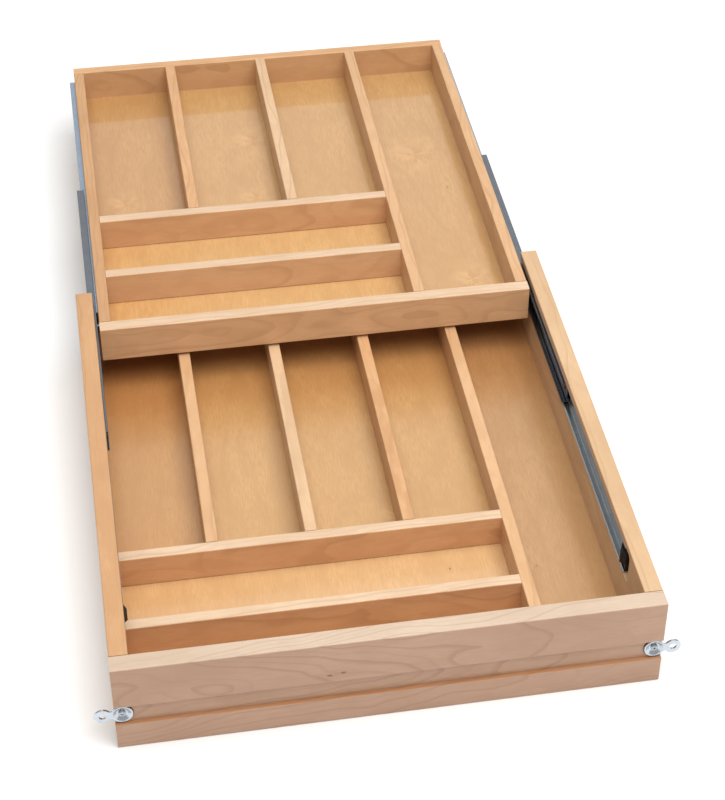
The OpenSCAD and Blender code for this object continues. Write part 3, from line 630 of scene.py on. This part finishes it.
def plated_steel(name, colour, rough, line_spacing=3000.0, bloom_depth=0.25):
    """Plated steel with rolling lines and a cloudy bloom."""
    material = bpy.data.materials.new(name)
    material.use_nodes = True
    c = Chain(material.node_tree)
    shader = material.node_tree.nodes["Principled BSDF"]
    place = c.add("ShaderNodeTexCoord")
    lines = c.add("ShaderNodeGroup")
    lines.node_tree = steel_group
    c.feed(lines.inputs["Point"], place.outputs["Object"])
    lines.inputs["Line spacing"].default_value = line_spacing
    bloom = c.range(lines.outputs["Bloom"], 0.3, 0.7)
    c.feed(shader.inputs["Base Color"], c.mix(c.math("MULTIPLY", bloom, bloom_depth), (*colour, 1),
                                              (*(v * 0.6 for v in colour), 1)))
    brushed = c.range(lines.outputs["Lines"], 0.3, 0.7, rough, rough + LINE_ROUGHNESS)
    c.feed(shader.inputs["Roughness"], brushed)
    shader.inputs["Metallic"].default_value = 1.0
    bump = c.add("ShaderNodeBump")
    bump.inputs["Strength"].default_value = 0.15
    bump.inputs["Distance"].default_value = 0.0001
    c.feed(bump.inputs["Height"], lines.outputs["Lines"])
    c.feed(shader.inputs["Normal"], bump.outputs[0])
    return material


# %% [markdown]
# ## One metal for each kind of part
#
# Slides, screws and clips are all plated steel, but they come from different baths and are
# rolled, pressed or turned. The middle member is the darkest, the clips the brightest, and the
# balls are polished. The cages are pressed from a yellowish strip.

# %% Slides, cages, balls, screws and clips
outer_steel = plated_steel("zinc_outer_member", (0.46, 0.50, 0.53), 0.24)
middle_steel = plated_steel("zinc_middle_member", (0.19, 0.21, 0.24), 0.20)
inner_steel = plated_steel("zinc_inner_member", (0.34, 0.42, 0.52), 0.18)
cage_steel = plated_steel("yellow_cage_strip", (0.52, 0.45, 0.32), 0.38)
ball_steel = plated_steel("polished_balls", (0.80, 0.80, 0.82), 0.12, 600.0, 0.1)
screw_steel = plated_steel("zinc_screws", (0.46, 0.49, 0.53), 0.24, 900.0)
clip_steel = plated_steel("bright_zinc_clips", (0.56, 0.62, 0.68), 0.18, 500.0, 0.3)
brad_steel = plated_steel("brad_wire", (0.45, 0.45, 0.46), 0.4, 900.0)
for side in ("left", "right"):
    give("slide_outer_" + side, outer_steel)
    give("slide_middle_" + side, middle_steel)
    give("slide_inner_" + side, inner_steel)
    give("outer_ball_cage_" + side, cage_steel)
    give("inner_ball_cage_" + side, cage_steel)
    give("outer_balls_" + side, ball_steel)
    give("inner_balls_" + side, ball_steel)
    give("front_clip_" + side, clip_steel)
    give("clip_screw_" + side, screw_steel)
for node in ("slide_box_screws", "slide_tray_screws"):
    give(node, screw_steel)
for node in ("lower_divider_brads", "tray_divider_brads"):
    give(node, brad_steel)
print("metal parts finished")

# %% [markdown]
# ## Dowels and the black bumpers
#
# The dowels are turned beech, hidden in the joints, so the maple recipe in a plainer setting does
# for them. The bumpers are moulded nylon: nearly black, with a fine spark-eroded texture that
# breaks up the highlight.

# %% Dowels and bumpers
BEECH = (0.72, 0.50, 0.32)
beech = maple("turned_beech", ALONG_X, 31.0, BEECH, ring=0.003, contrast=0.5)
for node in ("lower_corner_dowels", "tray_corner_dowels"):
    give(node, beech)

nylon = bpy.data.materials.new("black_nylon")
nylon.use_nodes = True
c = Chain(nylon.node_tree)
shader = nylon.node_tree.nodes["Principled BSDF"]
place = c.add("ShaderNodeTexCoord")
pits = c.noise(place.outputs["Object"], 2600.0, 2.0, 0.5)
cloud = c.noise(place.outputs["Object"], 160.0, 3.0, 0.5)
black = c.mix(cloud, (0.005, 0.006, 0.007, 1), (0.014, 0.015, 0.017, 1))
c.feed(shader.inputs["Base Color"], black)
c.feed(shader.inputs["Roughness"], c.range(pits, 0.3, 0.7, 0.42, 0.58))
shader.inputs["Specular IOR Level"].default_value = 0.35
bump = c.add("ShaderNodeBump")
bump.inputs["Strength"].default_value = 0.3
bump.inputs["Distance"].default_value = 0.0002
c.feed(bump.inputs["Height"], pits)
c.feed(shader.inputs["Normal"], bump.outputs[0])
for side in ("left", "right"):
    give("slide_bumper_" + side, nylon)
